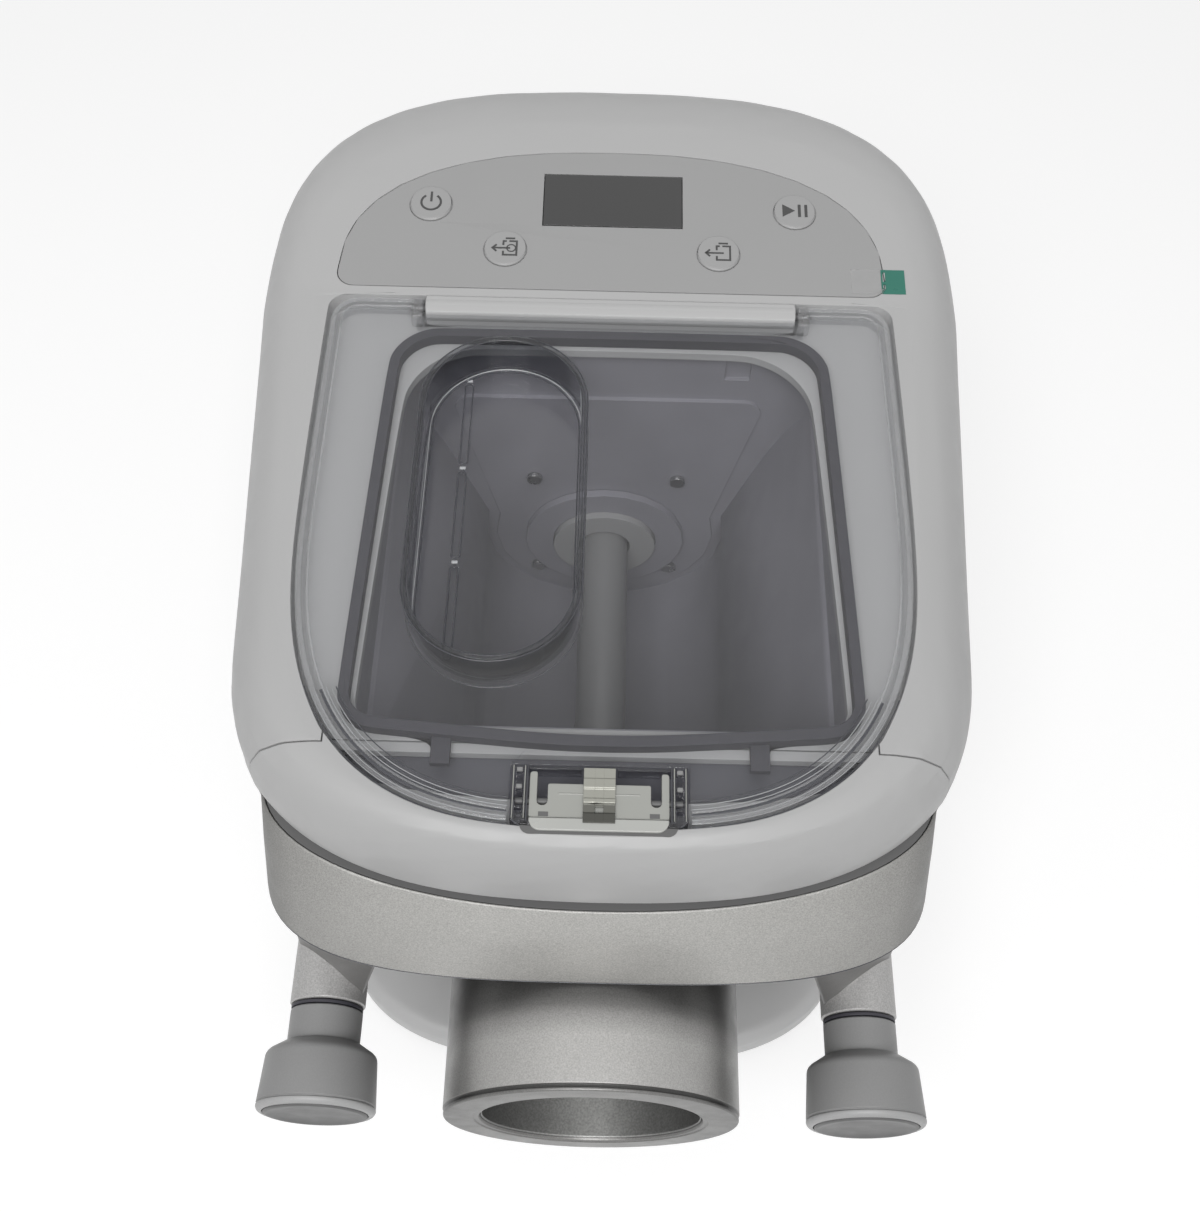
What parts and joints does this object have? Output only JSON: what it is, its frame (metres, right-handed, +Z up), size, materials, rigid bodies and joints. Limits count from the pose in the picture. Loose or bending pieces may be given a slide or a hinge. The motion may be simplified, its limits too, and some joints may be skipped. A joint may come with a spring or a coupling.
{
  "type": "electric pasta maker",
  "caption": "Countertop pasta machine with a hinged clear lid and water trough over a mixing chamber, control deck, extrusion screw and a front cover held by knobs.",
  "frame": {"origin": "centre of the bounding box at table height", "axes": "+Z up, +Y from the front cover towards the back, +X to the right seen from the front"},
  "size_m": [0.2248, 0.324, 0.2563],
  "materials": {
    "housing": "satin",
    "panel": "satin",
    "display": "gloss",
    "clearPlastic": "clear gloss",
    "steel": "satin",
    "silver": "silver paint",
    "darkPlastic": "satin",
    "darkRubber": "matt",
    "lightRubber": "matt",
    "knobPlastic": "satin",
    "rodPlastic": "satin",
    "gearPlastic": "satin",
    "board": "matt",
    "film": "clear film"
  },
  "bodies": {
    "machine": {"rear_housing": "housing", "front_frame": "housing", "front_sill": "darkPlastic", "lower_housing": "housing", "base_housing": "housing", "bottom_plate": "darkPlastic", "foot_front_left": "darkRubber", "foot_front_right": "darkRubber", "foot_back_left": "darkRubber", "foot_back_right": "darkRubber", "control_panel": "panel", "lcd_window": "display", "lcd_module": "darkPlastic", "control_board": "board", "film_pull_tab": "film", "mixing_chamber": "darkPlastic", "shaft_seal": "lightRubber", "seal_flange": "darkPlastic", "chamber_screw_1": "steel", "chamber_screw_2": "steel", "chamber_screw_3": "steel", "chamber_screw_4": "steel", "cover_seal": "lightRubber", "stud_insert_left": "steel", "stud_insert_right": "steel", "gearbox_housing": "darkPlastic", "gearbox_cover": "darkPlastic", "output_bearing": "steel", "intermediate_axle": "steel", "motor": "steel", "power_board": "board", "cord_gland": "darkRubber"},
    "drive": {"mixing_paddle": "rodPlastic", "extrusion_screw": "rodPlastic", "output_shaft": "steel", "output_gear": "gearPlastic"},
    "middle_gear": {"intermediate_gear": "gearPlastic"},
    "motor_rotor": {"motor_pinion": "steel", "cooling_fan": "darkPlastic"},
    "cover": {"front_cover": "silver"},
    "left_knob": {"knob_left": "knobPlastic", "knob_cap_left": "knobPlastic", "knob_stud_left": "steel", "knob_washer_left": "darkRubber"},
    "right_knob": {"knob_right": "knobPlastic", "knob_cap_right": "knobPlastic", "knob_stud_right": "steel", "knob_washer_right": "darkRubber"},
    "lid": {"lid_shell": "clearPlastic", "lid_gasket": "darkRubber", "hinge_pin_left": "steel", "hinge_pin_right": "steel", "latch_frame": "clearPlastic", "latch_pin": "steel"},
    "latch": {"latch_lever": "clearPlastic", "latch_clip": "steel"},
    "power_key": {"power_button": "panel"},
    "automatic_key": {"automatic_button": "panel"},
    "extrude_key": {"extrude_button": "panel"},
    "play_key": {"play_pause_button": "panel"}
  },
  "joints": [
    {"name": "lid_hinge", "type": "hinge", "parent": "machine", "child": "lid", "pos_m": [0, 0.056, 0.248], "axis": [-1, 0, 0], "range_deg": [0, 95]},
    {"name": "latch_pivot", "type": "hinge", "parent": "lid", "child": "latch", "pos_m": [0, -0.106, 0.2482], "axis": [-1, 0, 0], "range_deg": [0, 14], "stiffness_Nm_per_rad": 0.05, "springref_deg": -5.73},
    {"name": "cover_slide", "type": "slide", "parent": "machine", "child": "cover", "axis": [0, -1, 0], "range_m": [0, 0.09]},
    {"name": "left_knob_turn", "type": "hinge", "parent": "cover", "child": "left_knob", "pos_m": [-0.082, -0.14, 0.138], "axis": [0, 1, 0], "range_deg": [0, 1440]},
    {"name": "right_knob_turn", "type": "hinge", "parent": "cover", "child": "right_knob", "pos_m": [0.082, -0.14, 0.138], "axis": [0, 1, 0], "range_deg": [0, 1440]},
    {"name": "drive_turn", "type": "hinge", "parent": "machine", "child": "drive", "pos_m": [0, 0, 0.138], "axis": [0, 1, 0], "continuous": true},
    {"name": "middle_gear_turn", "type": "hinge", "parent": "machine", "child": "middle_gear", "pos_m": [0, 0.065, 0.09], "axis": [0, 1, 0], "continuous": true},
    {"name": "motor_turn", "type": "hinge", "parent": "machine", "child": "motor_rotor", "pos_m": [0, 0.1, 0.054], "axis": [0, 1, 0], "continuous": true},
    {"name": "power_press", "type": "slide", "parent": "machine", "child": "power_key", "axis": [0, 0.0872, -0.9962], "range_m": [0, 0.0009], "stiffness_N_per_m": 400, "springref_m": -0.001},
    {"name": "automatic_press", "type": "slide", "parent": "machine", "child": "automatic_key", "axis": [0, 0.0872, -0.9962], "range_m": [0, 0.0009], "stiffness_N_per_m": 400, "springref_m": -0.001},
    {"name": "extrude_press", "type": "slide", "parent": "machine", "child": "extrude_key", "axis": [0, 0.0872, -0.9962], "range_m": [0, 0.0009], "stiffness_N_per_m": 400, "springref_m": -0.001},
    {"name": "play_press", "type": "slide", "parent": "machine", "child": "play_key", "axis": [0, 0.0872, -0.9962], "range_m": [0, 0.0009], "stiffness_N_per_m": 400, "springref_m": -0.001}
  ],
  "couplings": [
    {"joint": "middle_gear_turn", "follows": "drive_turn", "ratio": -3},
    {"joint": "motor_turn", "follows": "drive_turn", "ratio": 9}
  ]
}
